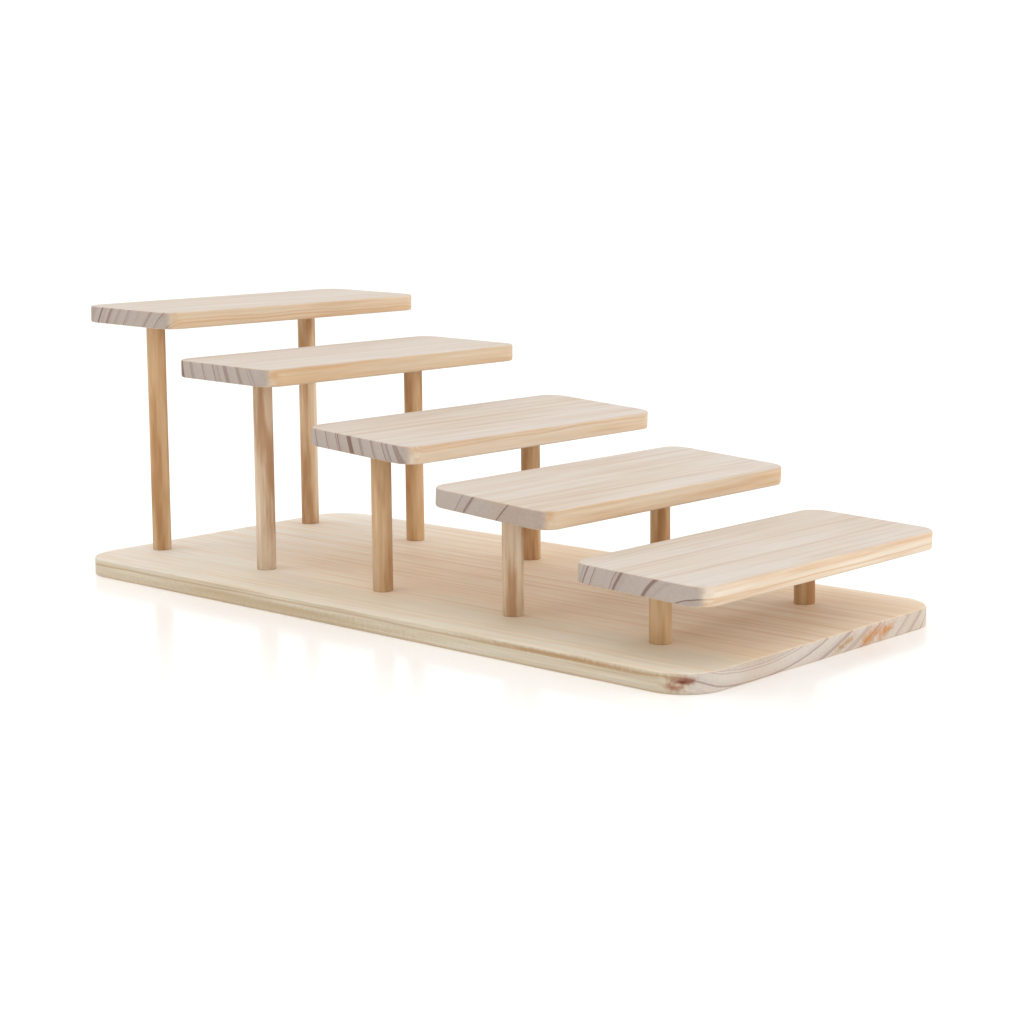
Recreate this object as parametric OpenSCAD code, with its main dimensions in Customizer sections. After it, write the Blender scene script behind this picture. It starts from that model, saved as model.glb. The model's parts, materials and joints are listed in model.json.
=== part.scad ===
// Stepped display rack for eyeglasses: five small shelves on pairs of round posts,
// standing in a row on one long base board. Every board has rounded corners.
// X runs along the shelves, Y from the low front shelf to the high back shelf, Z up.
// The origin is the centre of the base board's underside. All sizes are in millimetres.

/* [Base board] */
// Width of the base board, along the shelves
base_w = 230; // [180:1:300]
// Depth of the base board, from the front to the back
base_d = 500; // [490:1:600]
// Thickness of the base board
base_t = 11; // [9:0.5:16]
// Radius of the base board's corners, seen from above
base_corner_r = 25; // [5:1:40]

/* [Shelves] */
// Length of a shelf
shelf_w = 216; // [170:1:280]
// Depth of a shelf
shelf_d = 87; // [70:1:100]
// Thickness of a shelf
shelf_t = 10.5; // [9:0.5:14]
// Radius of a shelf's corners, seen from above
shelf_corner_r = 12; // [4:1:30]
// Distance from one shelf's centre to the next one's, from front to back
tier_pitch = 104.5; // [95:0.5:120]
// Place of the middle shelf's centre, in front of the origin where negative
middle_tier_y = -1; // [-10:0.5:10]

/* [Posts] */
// Diameter of a round post
post_d = 12; // [10:0.5:20]
// Distance between the two posts of one shelf, centre to centre
post_spacing = 130; // [80:1:160]
// Distance of the posts behind their shelf's centre
post_setback = 20; // [0:1:25]

/* [Edges] */
// Width of the chamfer along every edge of the boards
edge_chamfer = 0.8; // [0.3:0.1:2]

/* [Base screws] */
// Length of the countersunk screws that hold the posts from below
base_screw_length = 30; // [24:1:32]
// Diameter over the threads of a base screw
base_screw_d = 4; // [3:0.5:5]
// Diameter of a base screw's head
base_screw_head_d = 8; // [6:0.5:9]
// Depth of the screw heads below the underside of the base board
head_recess = 0.4; // [0.1:0.1:1]

/* [Dowel screws] */
// Length of the headless double-ended screws that join posts and shelves
dowel_screw_length = 20; // [16:1:20]
// Diameter over the threads of a dowel screw
dowel_screw_d = 4; // [3:0.5:5]
// Depth of a dowel screw in the shelf
dowel_screw_in_shelf = 7; // [5:0.5:7.5]

/* [Threads] */
// Distance from one thread to the next
thread_pitch = 2; // [1.4:0.1:3]
// Depth of a thread
thread_depth = 0.6; // [0.3:0.1:0.8]

/* [Hidden] */
// Height of each shelf's top at its centre, from the back tier to the front one
shelf_heights = [171.5, 143.5, 108, 83.5, 56.5];
// Forward lean of each shelf, in degrees, in the same order
shelf_leans = [1, 1, 3.5, 3.5, 2];
// Sideways shift of each shelf on its two posts, in the same order
shelf_shifts = [4, -7, 4, 0, -2.5];

middle_tier = 3;
round_facets = 48;
screw_facets = 24;
screw_tip = 5;
plain_middle = 2;
drive_depth = 1.8;
drive_w = 1;
drive_span = 4;
cutter = 400;

pine_base = [0.93, 0.85, 0.72];
pine_shelf = [0.95, 0.88, 0.76];
pine_post = [0.86, 0.70, 0.49];
zinc = [0.74, 0.74, 0.72];

// Tier 1 is the highest shelf, at the back, and tier 5 the lowest, at the front.
function tier_y(tier) = middle_tier_y + tier_pitch * (middle_tier - tier);
function post_y(tier) = tier_y(tier) + post_setback;
function lean(tier) = shelf_leans[tier - 1];
// Height of the shelf's underside over the posts' axes
function seat_z(tier) = shelf_heights[tier - 1] + post_setback * tan(lean(tier))
    - shelf_t / cos(lean(tier));
// Height of the lower end of the dowel screws
function dowel_screw_z(tier) = seat_z(tier) + dowel_screw_in_shelf - dowel_screw_length;

// Outline of a board's rim with its two chamfers, from the middle out to half_w.
module rim_profile(half_w, t) {
    polygon([
        [0, 0],
        [half_w - edge_chamfer, 0],
        [half_w, edge_chamfer],
        [half_w, t - edge_chamfer],
        [half_w - edge_chamfer, t],
        [0, t]
    ]);
}

module full_profile(half_w, t) {
    rim_profile(half_w, t);
    mirror([1, 0]) rim_profile(half_w, t);
}

// A flat board with rounded corners and chamfered edges, its underside on z = 0.
module board(w, d, t, corner_r) {
    translate([0, d / 2 - corner_r, 0])
        rotate([90, 0, 0])
            linear_extrude(d - 2 * corner_r)
                full_profile(w / 2, t);
    translate([corner_r - w / 2, 0, 0])
        rotate([90, 0, 90])
            linear_extrude(w - 2 * corner_r)
                full_profile(d / 2, t);
    for (sx = [-1, 1], sy = [-1, 1])
        translate([sx * (w / 2 - corner_r), sy * (d / 2 - corner_r), 0])
            rotate_extrude($fn = round_facets)
                rim_profile(corner_r, t);
}

// The profile of a run of threads: a saw edge between the core and the crests.
module thread_profile(z_low, z_high, d) {
    crest_r = d / 2;
    core_r = crest_r - thread_depth;
    turns = floor((z_high - z_low) / thread_pitch);
    saw = [
        for (i = [0 : turns - 1], step = [0, 0.5])
            [step == 0 ? core_r : crest_r, z_low + (i + step) * thread_pitch]
    ];
    end = [[core_r, z_low + turns * thread_pitch], [core_r, z_high], [0, z_high]];
    polygon(concat([[0, z_low]], saw, end));
}

// A countersunk wood screw, head down, with the flat of its head on z = 0.
module base_screw() {
    head_r = base_screw_head_d / 2;
    shank_r = base_screw_d / 2;
    core_r = shank_r - thread_depth;
    head_h = head_r - shank_r;
    difference() {
        union() {
            rotate_extrude($fn = screw_facets)
                polygon([[0, 0], [head_r, 0], [shank_r, head_h], [shank_r, base_t], [0, base_t]]);
            rotate_extrude($fn = screw_facets)
                thread_profile(base_t, base_screw_length - screw_tip, base_screw_d);
            translate([0, 0, base_screw_length - screw_tip])
                rotate_extrude($fn = screw_facets)
                    polygon([[0, 0], [core_r, 0], [0, screw_tip]]);
        }
        for (turn = [0, 90])
            rotate([0, 0, turn])
                translate([-drive_span / 2, -drive_w / 2, -1])
                    cube([drive_span, drive_w, drive_depth + 1]);
    }
}

// A headless screw with a thread at each end, its lower end on z = 0.
module dowel_screw() {
    core_r = dowel_screw_d / 2 - thread_depth;
    lower_end = dowel_screw_length - dowel_screw_in_shelf - plain_middle / 2;
    upper_start = lower_end + plain_middle;
    rotate_extrude($fn = screw_facets)
        thread_profile(0, lower_end, dowel_screw_d);
    translate([0, 0, lower_end])
        cylinder(h = plain_middle, r = core_r, $fn = screw_facets);
    rotate_extrude($fn = screw_facets)
        thread_profile(upper_start, dowel_screw_length, dowel_screw_d);
}

// Moves its children to both post axes of a tier.
module at_posts(tier, z) {
    for (side = [-1, 1])
        translate([side * post_spacing / 2, post_y(tier), z])
            children();
}

module base_board() {
    head_r = base_screw_head_d / 2;
    shank_r = base_screw_d / 2;
    color(pine_base)
        difference() {
            board(base_w, base_d, base_t, base_corner_r);
            for (tier = [1 : 5])
                at_posts(tier, 0) {
                    translate([0, 0, -1])
                        cylinder(h = base_t + 2, r = shank_r, $fn = round_facets);
                    translate([0, 0, head_recess])
                        cylinder(h = head_r - shank_r, r1 = head_r, r2 = shank_r, $fn = round_facets);
                    translate([0, 0, -1])
                        cylinder(h = head_recess + 1, r = head_r, $fn = round_facets);
                }
        }
}

module shelf(tier) {
    color(pine_shelf)
        difference() {
            translate([shelf_shifts[tier - 1], tier_y(tier), shelf_heights[tier - 1]])
                rotate([lean(tier), 0, 0])
                    translate([0, 0, -shelf_t])
                        board(shelf_w, shelf_d, shelf_t, shelf_corner_r);
            at_posts(tier, dowel_screw_z(tier))
                cylinder(h = dowel_screw_length, r = dowel_screw_d / 2, $fn = round_facets);
        }
}

// A round post from the base board up to the shelf's sloping underside.
module post(tier, side) {
    color(pine_post)
        difference() {
            translate([side * post_spacing / 2, post_y(tier), base_t])
                cylinder(h = seat_z(tier) - base_t + post_d, d = post_d, $fn = round_facets);
            translate([0, post_y(tier), seat_z(tier)])
                rotate([lean(tier), 0, 0])
                    translate([-cutter / 2, -cutter / 2, 0])
                        cube([cutter, cutter, cutter]);
            at_posts(tier, base_t - 1)
                cylinder(
                    h = head_recess + base_screw_length - base_t + 1,
                    d = base_screw_d,
                    $fn = round_facets
                );
            at_posts(tier, dowel_screw_z(tier))
                cylinder(h = dowel_screw_length, d = dowel_screw_d, $fn = round_facets);
        }
}

module base_screws(tier) {
    color(zinc) at_posts(tier, head_recess) base_screw();
}

module dowel_screws(tier) {
    color(zinc) at_posts(tier, dowel_screw_z(tier)) dowel_screw();
}

base_board();
for (tier = [1 : 5]) {
    shelf(tier);
    post(tier, -1);
    post(tier, 1);
    base_screws(tier);
    dowel_screws(tier);
}
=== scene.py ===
"""Looks for the stepped eyeglass display rack: sanded pine boards and dowels on zinc-plated screws.

Every wooden piece is a mesh in its own local frame, so that its grain can run along local X.
"""

import json
import math
from collections import namedtuple

import bmesh
import bpy
from mathutils import Matrix, Vector


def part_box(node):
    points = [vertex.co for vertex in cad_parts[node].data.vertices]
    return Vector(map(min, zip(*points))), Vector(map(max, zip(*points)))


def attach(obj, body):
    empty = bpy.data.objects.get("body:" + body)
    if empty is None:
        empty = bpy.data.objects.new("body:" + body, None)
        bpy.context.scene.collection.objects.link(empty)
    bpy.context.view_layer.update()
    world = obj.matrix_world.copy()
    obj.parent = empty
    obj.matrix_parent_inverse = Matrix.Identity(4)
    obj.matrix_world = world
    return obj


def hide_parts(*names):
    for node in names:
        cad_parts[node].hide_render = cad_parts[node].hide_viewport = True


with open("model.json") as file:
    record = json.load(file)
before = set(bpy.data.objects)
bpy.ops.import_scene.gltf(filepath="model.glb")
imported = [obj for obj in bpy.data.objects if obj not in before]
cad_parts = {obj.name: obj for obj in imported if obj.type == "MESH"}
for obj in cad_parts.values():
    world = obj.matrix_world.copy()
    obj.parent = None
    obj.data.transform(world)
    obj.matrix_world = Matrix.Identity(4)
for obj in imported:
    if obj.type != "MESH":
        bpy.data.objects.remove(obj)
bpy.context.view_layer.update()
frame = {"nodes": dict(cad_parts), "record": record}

# Sizes in metres. Places come from the frame's own boxes and mounts.
TIERS = range(1, 6)
SIDES = ("left", "right")
BASE_CORNER_RADIUS = 0.025
SHELF_DEPTH = 0.087
SHELF_THICKNESS = 0.0105
SHELF_CORNER_RADIUS = 0.012
EDGE_RADIUS = 0.0011
POST_EDGE = 0.0003
BORE_OVERSHOOT = 0.001

# Steps in a rounded edge, in a board's corner, round a post and round a bore.
EDGE_STEPS = 5
CORNER_STEPS = 14
POST_STEPS = 72
BORE_STEPS = 48


# ---------------------------------------------------------------- mesh code

def rounded_rectangle(half_x, half_y, radius):
    """Points of a rectangle with round corners, anticlockwise, with the same count at any size."""
    points = []
    for quarter in range(4):
        sign_x = 1 if quarter in (0, 3) else -1
        sign_y = 1 if quarter in (0, 1) else -1
        centre = Vector((sign_x * (half_x - radius), sign_y * (half_y - radius)))
        for step in range(CORNER_STEPS + 1):
            angle = math.pi / 2 * (quarter + step / CORNER_STEPS)
            points.append(centre + radius * Vector((math.cos(angle), math.sin(angle))))
    return points


def board_rim(thickness):
    """The rim's profile from the underside to the top, as (inset, local z, wear)."""
    lower = []
    for step in range(EDGE_STEPS + 1):
        angle = math.pi / 2 * step / EDGE_STEPS
        inset = EDGE_RADIUS * (1 - math.sin(angle))
        z = -thickness + EDGE_RADIUS * (1 - math.cos(angle))
        lower.append((inset, z, math.sin(2 * angle)))
    upper = [(inset, -thickness - z, wear) for inset, z, wear in reversed(lower)]
    return lower + upper


def object_from(bm, name):
    mesh = bpy.data.meshes.new(name)
    bm.normal_update()
    bm.to_mesh(mesh)
    bm.free()
    piece = bpy.data.objects.new(name, mesh)
    bpy.context.scene.collection.objects.link(piece)
    return piece


def skin_rings(bm, rings):
    """Joins rings of vertices with smooth quads and closes both ends with flat faces."""
    for low, high in zip(rings, rings[1:]):
        for i in range(len(low)):
            j = (i + 1) % len(low)
            bm.faces.new((low[i], low[j], high[j], high[i])).smooth = True
    bm.faces.new(list(reversed(rings[0])))
    bm.faces.new(rings[-1])


def board(name, length, depth, thickness, corner_radius):
    """A board with round corners and hand-eased edges. Its top is on local z = 0, its length on X."""
    bm = bmesh.new()
    wear_layer = bm.verts.layers.float.new("edge_wear")
    rings = []
    for inset, z, wear in board_rim(thickness):
        outline = rounded_rectangle(length / 2 - inset, depth / 2 - inset, corner_radius - inset)
        ring = [bm.verts.new((p.x, p.y, z)) for p in outline]
        for vertex in ring:
            vertex[wear_layer] = wear
        rings.append(ring)
    skin_rings(bm, rings)
    return object_from(bm, name)


def post(name, radius, height, lean):
    """A round post along local X from 0 to height, its top cut to the shelf's lean."""
    bm = bmesh.new()
    wear_layer = bm.verts.layers.float.new("edge_wear")
    rings = []
    # (inset, distance from the nearer end, 0 at the foot or 1 at the top)
    profile = ((POST_EDGE, 0, 0), (0, POST_EDGE, 0), (0, -POST_EDGE, 1), (POST_EDGE, 0, 1))
    for inset, along, at_top in profile:
        ring = []
        for step in range(POST_STEPS):
            angle = 2 * math.pi * step / POST_STEPS
            y = (radius - inset) * math.cos(angle)
            z = (radius - inset) * math.sin(angle)
            x = along + at_top * (height + y * math.tan(lean))
            vertex = bm.verts.new((x, y, z))
            vertex[wear_layer] = 1.0 if inset else 0.0
            ring.append(vertex)
        rings.append(ring)
    skin_rings(bm, rings)
    return object_from(bm, name)


def turned(name, profile, x, y):
    """A solid of revolution about a vertical axis, from (radius, height) pairs going up."""
    bm = bmesh.new()
    rings = []
    for radius, height in profile:
        ring = []
        for step in range(BORE_STEPS):
            angle = 2 * math.pi * step / BORE_STEPS
            ring.append(bm.verts.new((x + radius * math.cos(angle), y + radius * math.sin(angle), height)))
        rings.append(ring)
    skin_rings(bm, rings)
    return object_from(bm, name)


def drill(piece, cutters):
    """Cuts the bores out of a piece and removes the cutters."""
    bpy.context.view_layer.update()
    for cutter in cutters:
        modifier = piece.modifiers.new("bore", "BOOLEAN")
        modifier.object = cutter
        modifier.operation = "DIFFERENCE"
        modifier.solver = "EXACT"
    cut = bpy.data.meshes.new_from_object(piece.evaluated_get(bpy.context.evaluated_depsgraph_get()))
    piece.modifiers.clear()
    piece.data = cut
    for cutter in cutters:
        bpy.data.objects.remove(cutter)


# ---------------------------------------------------------------- materials

class Graph:
    """A material's node tree, with short calls for the nodes that the materials use."""

    def __init__(self, name):
        self.material = bpy.data.materials.new(name)
        self.material.use_nodes = True
        self.tree = self.material.node_tree
        self.shader = self.tree.nodes["Principled BSDF"]

    def node(self, kind, inputs=(), **settings):
        made = self.tree.nodes.new("ShaderNode" + kind)
        for key, value in settings.items():
            setattr(made, key, value)
        for key, value in dict(inputs).items():
            self.feed(made.inputs[key], value)
        return made

    def feed(self, socket, value):
        if isinstance(value, bpy.types.NodeSocket):
            self.tree.links.new(value, socket)
        else:
            socket.default_value = value

    def math(self, operation, a, b=0.0, c=0.0, clamp=False):
        made = self.node("Math", operation=operation, use_clamp=clamp)
        for socket, value in zip(made.inputs, (a, b, c)):
            self.feed(socket, value)
        return made.outputs[0]

    def times(self, a, b):
        return self.math("MULTIPLY", a, b)

    def plus(self, a, b):
        return self.math("ADD", a, b)

    def axes(self, vector):
        """The X, Y and Z parts of a vector."""
        return self.node("SeparateXYZ", {"Vector": vector}).outputs

    def spread(self, value, low, high):
        """Takes low..high to 0..1, smoothly."""
        made = self.node("MapRange", {"Value": value, "From Min": low, "From Max": high})
        made.interpolation_type = "SMOOTHSTEP"
        return made.outputs[0]

    def stretch(self, vector, scale, offset=(0, 0, 0)):
        return self.node("Mapping", {"Vector": vector, "Scale": scale, "Location": offset}).outputs[0]

    def noise(self, vector, scale=1.0, detail=2.0, roughness=0.5):
        settings = {"Vector": vector, "Scale": scale, "Detail": detail, "Roughness": roughness}
        return self.node("TexNoise", settings).outputs["Fac"]

    def centred_noise(self, vector, amplitude, scale=1.0, detail=2.0):
        """Noise about zero, up to about the amplitude each way."""
        about_zero = self.math("SUBTRACT", self.noise(vector, scale, detail), 0.5)
        return self.times(about_zero, 2 * amplitude)

    def mix(self, factor, a, b, blend="MIX"):
        made = self.node("Mix", data_type="RGBA", blend_type=blend)
        for socket, value in ((made.inputs[0], factor), (made.inputs[6], a), (made.inputs[7], b)):
            self.feed(socket, value)
        return made.outputs[2]

    def bump(self, height, strength, distance):
        made = self.node("Bump", {"Height": height, "Strength": strength, "Distance": distance})
        self.feed(self.shader.inputs["Normal"], made.outputs[0])


def srgb(red, green, blue):
    """A colour from its 0-255 display values, as the linear values that a shader takes."""
    linear = [((c / 255 + 0.055) / 1.055) ** 2.4 for c in (red, green, blue)]
    return (*linear, 1.0)


PALETTES = {
    "shelf": {
        "top": srgb(208, 198, 187), "top_line": srgb(190, 162, 138),
        "side": srgb(210, 187, 158), "side_line": srgb(198, 155, 110), "pale": srgb(222, 208, 190),
        "end": srgb(181, 168, 158), "end_line": srgb(128, 100, 92),
    },
    "base": {
        # The third colour of the base's top is the grey of the painted shade along its left edge.
        "top": srgb(247, 229, 205), "top_line": srgb(226, 190, 152), "shade_grey": srgb(228, 220, 202),
        # The base's side colour is kept darker than its top as painted shade for its shaded left side.
        "side": srgb(210, 199, 178), "side_line": srgb(178, 148, 112), "pale": srgb(228, 223, 213),
        "end": srgb(206, 195, 184), "end_line": srgb(170, 150, 140),
    },
    "post": {
        "side": srgb(214, 180, 138), "side_line": srgb(170, 120, 74), "pale": srgb(232, 217, 196),
        "end": srgb(190, 162, 132), "end_line": srgb(140, 106, 82),
    },
}
WARM_TINT = srgb(240, 218, 186)
KNOT_BROWN = srgb(152, 92, 62)
KNOT_CORE = srgb(116, 56, 38)
STREAK_BROWN = srgb(174, 140, 100)
SOFT_STREAK = srgb(186, 164, 132)
RESIN_ORANGE = srgb(190, 134, 78)
BRIGHT_ZINC = srgb(196, 196, 190)
DULL_ZINC = srgb(160, 158, 150)

# The wood's noise scales, per metre. Those with three numbers are along the grain, then across it.
WANDER_SCALE = (5, 12, 12)
RIPPLE_SCALE = (22, 90, 90)
FIBRE_SCALE = (24, 680, 680)
CLOUD_SCALE = (6, 22, 22)
SAPWOOD_SCALE = (9, 30, 30)
PORE_SCALE = 2600
STAIN_RIM_SCALE = 420
WEAR_SCALE = 60

# How far the fine fibres, the warm clouds and the rubbed edges change the wood's colour.
FIBRE_CONTRAST = 0.32
CLOUD_WARMTH = 0.30
WEAR_SHARE = 0.22

# The wood's roughness, its specular level and the height of its ridges in metres.
WOOD_ROUGHNESS = 0.56
WOOD_SPECULAR = 0.25
GRAIN_DEPTH = 0.00012

# The zinc's turning marks, fine along the screw's upright axis, and its dull patches.
TURNING_SCALE = (300, 300, 6000)
TURNING_DEPTH = 0.00005
DULL_SCALE = 900

# How clear the year lines are along the grain, the noise scale of the brown streaks, and the
# noise value that makes a full streak.
Figure = namedtuple("Figure", "line_share streak_scale full_streak")
BOARD_FIGURE = Figure(0.65, (7, 210, 210), 0.78)
POST_FIGURE = Figure(0.25, (13, 110, 110), 0.66)

# pith is where the tree's centre would be, as (y, z) from the piece's own origin. spacing is the
# width of a year's growth, and wander how far its lines stray, in metres. paleness takes the
# sides towards the palette's pale wood.
Tree = namedtuple("Tree", "pith spacing paleness wander", defaults=(0.0, 0.0024))
RIPPLE = 0.0005
LATE_WOOD_WIDTH = 0.0011
LATE_WOOD_MOST = 0.25

# A knot, streak or resin pocket: an ellipsoid in the piece's own frame, tilted in degrees about
# the grain. push is how far the grain bows round it, in metres.
Stain = namedtuple("Stain", "centre size tilt colour push", defaults=(0.0,))


def late_wood_tone(g, year_part, spacing):
    """Early wood stays pale through most of a year. Late wood darkens slowly, with a sharp far edge."""
    share = min(LATE_WOOD_WIDTH / spacing, LATE_WOOD_MOST)
    # (part of the year, how dark)
    tones = ((0.0, 0.40), (0.35 * share, 0.0), (0.5, 0.03), (1 - 2.2 * share, 0.16),
             (1 - 1.2 * share, 1.0), (1 - 0.3 * share, 1.0), (1.0, 0.45))
    made = g.node("ValToRGB", {"Fac": year_part})
    ramp = made.color_ramp
    ramp.interpolation = "EASE"
    ramp.elements.remove(ramp.elements[0])
    for number, (position, value) in enumerate(tones):
        element = ramp.elements.new(position) if number else ramp.elements[0]
        element.position = position
        element.color = (value, value, value, 1)
    return made.outputs[0]


def year_lines(g, place, tree, pushes):
    """The year lines as they show, and the late wood under them, from the distance to the pith."""
    axes = g.axes(place)
    wander = g.centred_noise(g.stretch(place, WANDER_SCALE, tree.pith + (0,)), tree.wander)
    ripple = g.centred_noise(g.stretch(place, RIPPLE_SCALE, tree.pith + (1,)), RIPPLE)
    across = g.math("POWER", g.math("SUBTRACT", axes["Y"], tree.pith[0]), 2)
    up = g.math("POWER", g.math("SUBTRACT", axes["Z"], tree.pith[1]), 2)
    radius = g.plus(g.math("SQRT", g.plus(across, up)), g.plus(wander, ripple))
    for push in pushes:
        radius = g.plus(radius, push)

    # Some years are wider than others, and some have fainter late wood.
    years = g.math("DIVIDE", radius, tree.spacing)
    uneven = g.node("TexNoise", {"W": g.times(years, 0.7), "Detail": 1.0}, noise_dimensions="1D")
    years = g.plus(years, g.times(uneven.outputs["Fac"], 0.9))
    late = late_wood_tone(g, g.math("FRACT", years), tree.spacing)
    strength = g.noise(g.node("CombineXYZ", {"X": g.math("FLOOR", years)}).outputs[0], 3.7, 0)
    return g.times(late, g.spread(strength, 0.2, 0.62)), late


def stain_marks(g, place, seeded, stains):
    """Each stain's ragged mask with its colour, and how far each pushes the year lines out."""
    marks = []
    pushes = []
    for stain in stains:
        shape = {"Vector": place, "Location": stain.centre, "Scale": stain.size,
                 "Rotation": (math.radians(stain.tilt), 0, 0)}
        away = g.node("Mapping", shape, vector_type="TEXTURE").outputs[0]
        distance = g.node("VectorMath", {0: away}, operation="LENGTH").outputs["Value"]
        ragged = g.plus(distance, g.centred_noise(seeded, 0.55, STAIN_RIM_SCALE, 3))
        marks.append((g.math("SUBTRACT", 1.0, g.spread(ragged, 0.15, 1.25)), stain.colour))
        if stain.push:
            pushes.append(g.times(g.math("SUBTRACT", 1.0, g.spread(distance, 0.0, 3.2)), stain.push))
    return marks, pushes


def board_top(g, colours, seeded, cloud, painted_light_end, painted_shade_edge):
    """The ground colour of a board's top, with painted shade along one edge and painted light towards one
    end.
    """
    axes = g.axes(g.node("TexCoord").outputs["Object"])
    top = colours["top"]
    if painted_shade_edge is not None:
        # Painted shade: the top greys and darkens towards this edge.
        across = g.plus(axes["Y"], g.centred_noise(g.stretch(seeded, SAPWOOD_SCALE), 0.02))
        top = g.mix(g.spread(across, *painted_shade_edge), top, colours["shade_grey"])
    if painted_light_end is not None:
        # Painted light: the top pales towards this end, as if brightly lit.
        along = g.plus(axes["X"], g.times(g.math("SUBTRACT", cloud, 0.5), 0.12))
        top = g.mix(g.spread(along, *reversed(painted_light_end)), top, colours["pale"])
    return top


def long_grain(g, colours, figure, tree, line, streak):
    """The colour of a side, and the shares of it that are year line and brown streak."""
    long_line = g.times(line, figure.line_share)
    streaky = g.spread(streak, 0.42, figure.full_streak)
    unstreaked = g.math("SUBTRACT", 0.45, g.times(g.spread(streak, 0.25, 0.5), 0.45))
    pale = g.math("ADD", unstreaked, tree.paleness, clamp=True)
    ground = g.mix(pale, colours["side"], colours["pale"])
    share = g.math("MAXIMUM", long_line, g.times(streaky, 0.75))
    return g.mix(share, ground, colours["side_line"]), long_line, streaky


def end_grain(g, colours, line, pores):
    """The colour of a cut end: the year lines as rings, and the pores between them."""
    rings = g.mix(g.times(line, 0.95), colours["end"], colours["end_line"])
    return g.mix(g.times(g.spread(pores, 0.45, 0.75), 0.22), rings, colours["end_line"])


def weathered(g, wood, fibre, cloud, streak, marks):
    """Broad warmth, fine light and dark fibres, and the stains, over the wood's colour."""
    wood = g.mix(g.times(g.spread(cloud, 0.4, 0.75), CLOUD_WARMTH), wood, WARM_TINT, "MULTIPLY")
    gain = g.math("MULTIPLY_ADD", g.math("SUBTRACT", fibre, 0.5), FIBRE_CONTRAST, 1.0)
    grey = g.node("CombineColor", {channel: gain for channel in range(3)}).outputs[0]
    wood = g.mix(1.0, wood, grey, "MULTIPLY")
    stripes = g.math("MULTIPLY_ADD", g.spread(streak, 0.3, 0.65), 0.45, 0.55)
    for mark, stain_colour in marks:
        wood = g.mix(g.times(mark, stripes), wood, stain_colour)
    return wood


def sanded_surface(g, fibre, late, pores, end_face, rubbed):
    """A dry, slightly ridged surface, rougher on cut ends and smoother on rubbed edges."""
    roughness = g.math("MULTIPLY_ADD", fibre, 0.16, WOOD_ROUGHNESS)
    roughness = g.math("SUBTRACT", roughness, g.times(rubbed, 0.12))
    roughness = g.plus(roughness, g.times(end_face, 0.12))
    g.feed(g.shader.inputs["Roughness"], roughness)
    g.shader.inputs["Specular IOR Level"].default_value = WOOD_SPECULAR
    height = g.plus(g.times(fibre, 0.5), g.times(late, 0.35))
    height = g.plus(height, g.times(g.times(pores, end_face), 0.5))
    g.bump(height, strength=0.35, distance=GRAIN_DEPTH)


def pine(name, kind, tree, seed, stains=(), painted_light_end=None, painted_shade_edge=None):
    """Sanded pine with its grain along local X.

    seed moves the noise, so that no two pieces look alike. The argument after stains is the stretch of
    local X from a top's palest end, painted light, to none of it, and the last the stretch of local Y over
    which a top greys into painted shade.
    """
    g = Graph(name)
    colours = PALETTES[kind]
    figure = POST_FIGURE if kind == "post" else BOARD_FIGURE
    coordinates = g.node("TexCoord").outputs
    place = coordinates["Object"]
    seeded = g.stretch(place, (1, 1, 1), (seed * 0.37, seed * 0.11, seed * 0.23))
    normal = g.axes(coordinates["Normal"])
    end_face = g.spread(g.math("ABSOLUTE", normal["X"]), 0.55, 0.85)
    flat_face = g.spread(g.math("ABSOLUTE", normal["Z"]), 0.45, 0.8)
    marks, pushes = stain_marks(g, place, seeded, stains)
    line, late = year_lines(g, place, tree, pushes)

    # Fine fibres, brown streaks, broad clouds and the pores of the end grain.
    fibre = g.noise(g.stretch(seeded, FIBRE_SCALE), 1, 4, 0.65)
    streak = g.noise(g.stretch(seeded, figure.streak_scale), 1, 3, 0.55)
    cloud = g.noise(g.stretch(seeded, CLOUD_SCALE), 1, 2, 0.5)
    pores = g.noise(seeded, PORE_SCALE, 2, 0.6)

    wood, long_line, streaky = long_grain(g, colours, figure, tree, line, streak)
    if "top" in colours:
        ground = board_top(g, colours, seeded, cloud, painted_light_end, painted_shade_edge)
        share = g.math("MAXIMUM", g.times(long_line, 0.7), g.times(streaky, 0.6))
        wood = g.mix(flat_face, wood, g.mix(share, ground, colours["top_line"]))
    wood = g.mix(end_face, wood, end_grain(g, colours, line, pores))
    wood = weathered(g, wood, fibre, cloud, streak, marks)

    # Edges rubbed a little darker and smoother where hands and cloths touch them.
    wear = g.node("Attribute", attribute_name="edge_wear").outputs["Fac"]
    rubbed = g.times(wear, g.spread(g.noise(seeded, WEAR_SCALE, 3), 0.35, 0.7))
    wood = g.mix(g.times(rubbed, WEAR_SHARE), wood, colours["side_line"])
    g.feed(g.shader.inputs["Base Color"], wood)
    sanded_surface(g, fibre, late, pores, end_face, rubbed)
    return g.material


def zinc_plate():
    """Pale zinc plating with turning marks and dull patches."""
    g = Graph("zinc_plate")
    place = g.node("TexCoord").outputs["Object"]
    turning = g.noise(g.stretch(place, TURNING_SCALE), 1, 2)
    dull = g.noise(place, DULL_SCALE, 3)
    colour = g.mix(g.spread(dull, 0.35, 0.7), BRIGHT_ZINC, DULL_ZINC)
    g.feed(g.shader.inputs["Base Color"], colour)
    g.shader.inputs["Metallic"].default_value = 1.0
    g.feed(g.shader.inputs["Roughness"], g.math("MULTIPLY_ADD", dull, 0.25, 0.22))
    g.bump(turning, strength=0.3, distance=TURNING_DEPTH)
    return g.material


# ---------------------------------------------------------------- the rack

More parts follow.
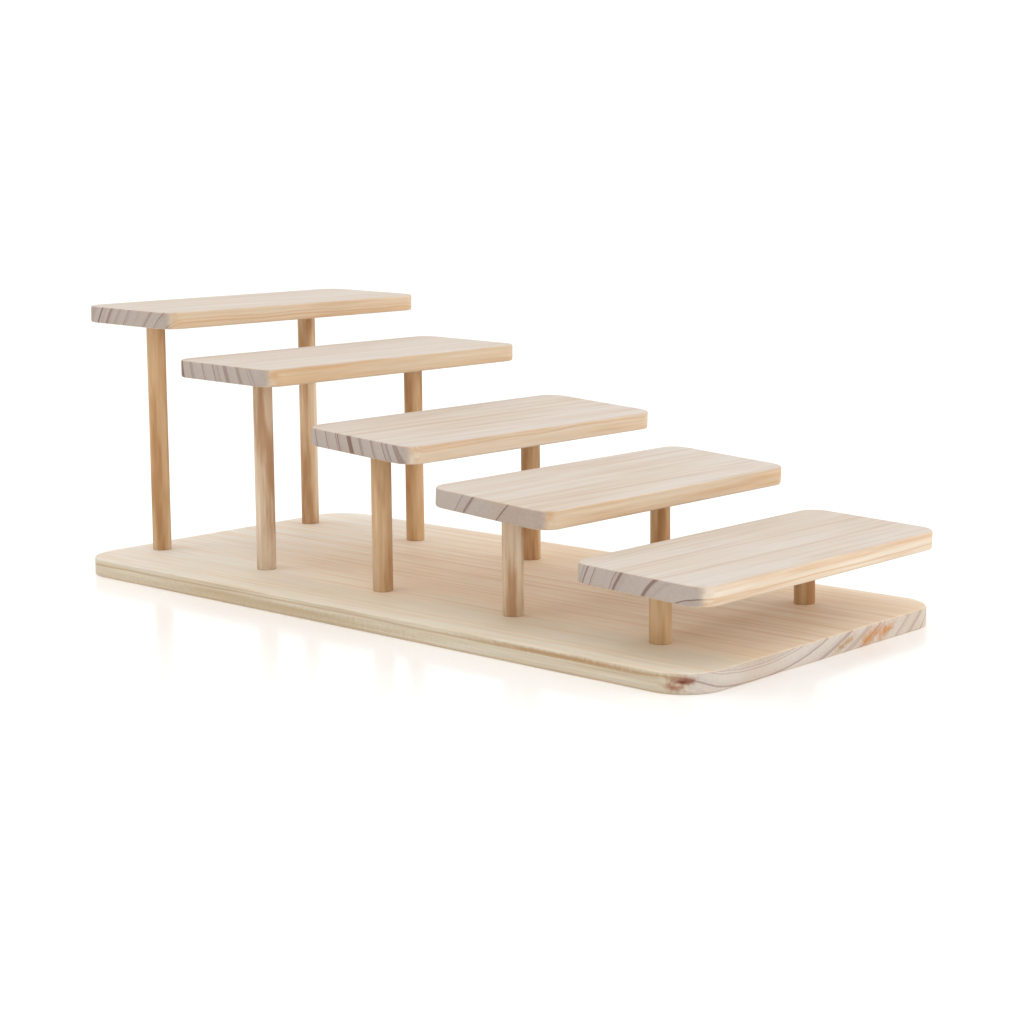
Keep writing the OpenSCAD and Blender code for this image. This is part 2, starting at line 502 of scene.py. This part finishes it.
SHELF_TREES = {
    1: Tree((-0.130, -0.100), 0.0078, 0.10),
    2: Tree((-0.120, 0.035), 0.0105, 0.0),
    3: Tree((-0.130, 0.040), 0.0092, 0.45),
    4: Tree((-0.130, -0.110), 0.0240, 0.20),
    5: Tree((-0.040, -0.034), 0.0170, 0.75),
}
BASE_TREE = Tree((0.060, 0.180), 0.0075, wander=0.0016)
# Painted light: the base top pales towards its brightly lit back end.
BASE_PAINTED_LIGHT_END = (0.24, 0.02)
# Painted shade: the base top greys and darkens along its left edge.
BASE_PAINTED_SHADE_EDGE = (0.045, 0.085)
BASE_STAINS = (
    Stain((-0.2395, 0.1100, -0.0038), (0.0090, 0.0075, 0.0028), 0, KNOT_BROWN, push=0.002),
    Stain((-0.2365, 0.1115, -0.0076), (0.0060, 0.0060, 0.0026), 0, KNOT_BROWN),
    Stain((-0.2405, 0.1095, -0.0040), (0.0060, 0.0060, 0.0019), 0, KNOT_CORE),
    Stain((-0.1650, 0.1150, -0.0022), (0.0850, 0.0090, 0.0016), 0, STREAK_BROWN),
    Stain((0.0600, 0.1150, -0.0070), (0.1500, 0.0090, 0.0036), 0, SOFT_STREAK),
    Stain((-0.2500, -0.0160, -0.0062), (0.0200, 0.0130, 0.0024), -16, STREAK_BROWN),
    Stain((-0.2500, -0.0400, -0.0064), (0.0200, 0.0130, 0.0046), -16, RESIN_ORANGE),
    Stain((-0.2500, -0.0550, -0.0056), (0.0200, 0.0110, 0.0042), -16, RESIN_ORANGE),
)

# A post's pith lies beside it, turned a further step in radians from one post to the next.
POST_PITH_DISTANCE = 0.028
POST_TURN = 2.4
POST_YEAR = 0.0042
POST_PALENESS = {
    "post_1_left": 0.0, "post_1_right": 0.35, "post_2_left": 0.80, "post_2_right": 0.0,
    "post_3_left": 0.10, "post_3_right": 0.15, "post_4_left": 0.65, "post_4_right": 0.10,
    "post_5_left": 0.05, "post_5_right": 0.0,
}
# A shelf adds its tier to the seed, and a post its number.
BASE_SEED = 3
SHELF_SEED = 10
POST_SEED = 30

mounts = {mount["name"]: mount for mount in frame["record"]["mounts"]}


def shelf_place(tier):
    """(centre of the shelf's top, forward lean in radians)."""
    mount = mounts[f"shelf_{tier}_top"]
    normal = Vector(mount["axis"])
    return Vector(mount["pos_m"]), math.atan2(-normal.y, normal.z)


def half_depth(node):
    """Half of a node's size along Y, which is the radius of a group of screws with one Y."""
    low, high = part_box(node)
    return (high.y - low.y) / 2


def post_axis(tier, side):
    low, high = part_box(f"post_{tier}_{side}")
    return (low.x + high.x) / 2, (low.y + high.y) / 2


def dowel_bore(tier, side):
    """A cutter for the dowel screw's hole in a post and its shelf."""
    screws = f"dowel_screws_tier_{tier}"
    low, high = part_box(screws)
    radius = half_depth(screws)
    return turned(f"dowel_bore_{tier}_{side}", [(radius, low.z), (radius, high.z)], *post_axis(tier, side))


def base_bore(tier, side):
    """A cutter for the base screw's hole, whose countersink is a right-angled cone.

    Both kinds of screw have the same thread. The box of the dowel screws gives its size.
    """
    screws = f"base_screws_tier_{tier}"
    low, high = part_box(screws)
    head_radius = half_depth(screws)
    thread_radius = half_depth(f"dowel_screws_tier_{tier}")
    head_depth = head_radius - thread_radius
    profile = [(head_radius, -BORE_OVERSHOOT), (head_radius, low.z),
               (thread_radius, low.z + head_depth), (thread_radius, high.z)]
    return turned(f"base_bore_{tier}_{side}", profile, *post_axis(tier, side))


def finish_piece(piece, node, material):
    piece.data.materials.append(material)
    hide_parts(node)
    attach(piece, "root")


def make_base():
    low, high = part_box("base_board")
    size = high - low
    piece = board("base_board_pine", size.y, size.x, size.z, BASE_CORNER_RADIUS)
    top_centre = ((low.x + high.x) / 2, (low.y + high.y) / 2, high.z)
    piece.matrix_world = Matrix.Translation(top_centre) @ Matrix.Rotation(math.pi / 2, 4, "Z")
    drill(piece, [base_bore(tier, side) for tier in TIERS for side in SIDES])
    material = pine("base_pine", "base", BASE_TREE, BASE_SEED, BASE_STAINS, BASE_PAINTED_LIGHT_END, BASE_PAINTED_SHADE_EDGE)
    finish_piece(piece, "base_board", material)


def make_shelf(tier):
    top, lean = shelf_place(tier)
    node = f"shelf_{tier}"
    low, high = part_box(node)
    piece = board(node + "_pine", high.x - low.x, SHELF_DEPTH, SHELF_THICKNESS, SHELF_CORNER_RADIUS)
    piece.matrix_world = Matrix.Translation(top) @ Matrix.Rotation(lean, 4, "X")
    drill(piece, [dowel_bore(tier, side) for side in SIDES])
    material = pine(node + "_pine", "shelf", SHELF_TREES[tier], SHELF_SEED + tier)
    finish_piece(piece, node, material)


def make_post(tier, side):
    _, lean = shelf_place(tier)
    node = f"post_{tier}_{side}"
    low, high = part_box(node)
    radius = (high.x - low.x) / 2
    height = high.z - low.z - radius * math.tan(lean)
    piece = post(node + "_pine", radius, height, lean)
    # Local X, which the grain follows, points up.
    upright = Matrix(((0, 0, -1), (0, 1, 0), (1, 0, 0))).to_4x4()
    piece.matrix_world = Matrix.Translation((*post_axis(tier, side), low.z)) @ upright
    drill(piece, [base_bore(tier, side), dowel_bore(tier, side)])
    number = 2 * tier + SIDES.index(side)
    turn = POST_TURN * number
    pith = (POST_PITH_DISTANCE * math.cos(turn), POST_PITH_DISTANCE * math.sin(turn))
    tree = Tree(pith, POST_YEAR, POST_PALENESS[node])
    finish_piece(piece, node, pine(node + "_pine", "post", tree, POST_SEED + number))


def dress_screws():
    """The screws keep their CAD meshes and take a better material."""
    zinc = zinc_plate()
    for tier in TIERS:
        for group in ("base_screws", "dowel_screws"):
            for slot in frame["nodes"][f"{group}_tier_{tier}"].material_slots:
                slot.material = zinc


# ---------------------------------------------------------------- studio

FLOOR_SIZE = 24.0
FLOOR_WHITE = srgb(250, 249, 247)
WHITE = (1.0, 1.0, 1.0, 1.0)
WORLD_STRENGTH = 1.03
RACK_MIDDLE = (0, 0, 0.08)
FRONT_FOOT = (0, -0.08, 0.03)


def make_floor():
    """A polished white floor that gives back a faint reflection of the rack."""
    bm = bmesh.new()
    bmesh.ops.create_grid(bm, x_segments=1, y_segments=1, size=FLOOR_SIZE / 2)
    floor = object_from(bm, "studio_floor")
    g = Graph("studio_floor")
    g.shader.inputs["Base Color"].default_value = FLOOR_WHITE
    g.shader.inputs["Roughness"].default_value = 0.14
    g.shader.inputs["Specular IOR Level"].default_value = 0.14
    g.shader.inputs["Emission Color"].default_value = WHITE
    g.shader.inputs["Emission Strength"].default_value = 0.09
    floor.data.materials.append(g.material)


def area_light(name, place, target, size, power):
    """A round soft light at place that faces target, with its size in metres and power in watts."""
    data = bpy.data.lights.new(name, "AREA")
    data.shape = "DISK"
    data.size = size
    data.energy = power
    light = bpy.data.objects.new(name, data)
    light.location = place
    light.rotation_euler = (Vector(target) - Vector(place)).to_track_quat("-Z", "Y").to_euler()
    bpy.context.scene.collection.objects.link(light)


def make_studio():
    make_floor()
    world = bpy.data.worlds.new("studio_world")
    world.use_nodes = True
    background = world.node_tree.nodes["Background"]
    background.inputs["Color"].default_value = WHITE
    background.inputs["Strength"].default_value = WORLD_STRENGTH
    scene = bpy.context.scene
    scene.world = world
    scene.view_settings.view_transform = "Standard"
    scene.view_settings.look = "None"
    area_light("key", (-0.7, 0.9, 2.2), RACK_MIDDLE, size=1.6, power=9)
    area_light("fill", (1.6, -1.6, 1.3), RACK_MIDDLE, size=1.8, power=3)
    area_light("low_fill", (0.9, -1.5, 0.42), FRONT_FOOT, size=1.0, power=6.5)


def make_camera():
    """The camera stands low at the front left, and looks along the rack from its corner."""
    place = (-0.9089, -0.8681, 0.2622)
    azimuth = math.radians(-47.006)
    elevation = math.radians(7.125)
    roll = math.radians(-0.596)
    data = bpy.data.cameras.new("camera")
    data.sensor_width = 36.0
    data.lens = 74.5
    data.shift_x = 0.004
    data.shift_y = -0.085
    camera = bpy.data.objects.new("camera", data)
    across = math.cos(elevation)
    back = Vector((math.sin(azimuth) * across, -math.cos(azimuth) * across, math.sin(elevation)))
    turn = back.to_track_quat("Z", "Y").to_matrix() @ Matrix.Rotation(roll, 3, "Z")
    camera.matrix_world = Matrix.Translation(place) @ turn.to_4x4()
    bpy.context.scene.collection.objects.link(camera)
    bpy.context.scene.camera = camera


make_camera()
make_base()
for tier in TIERS:
    make_shelf(tier)
    for side in SIDES:
        make_post(tier, side)
dress_screws()
make_studio()
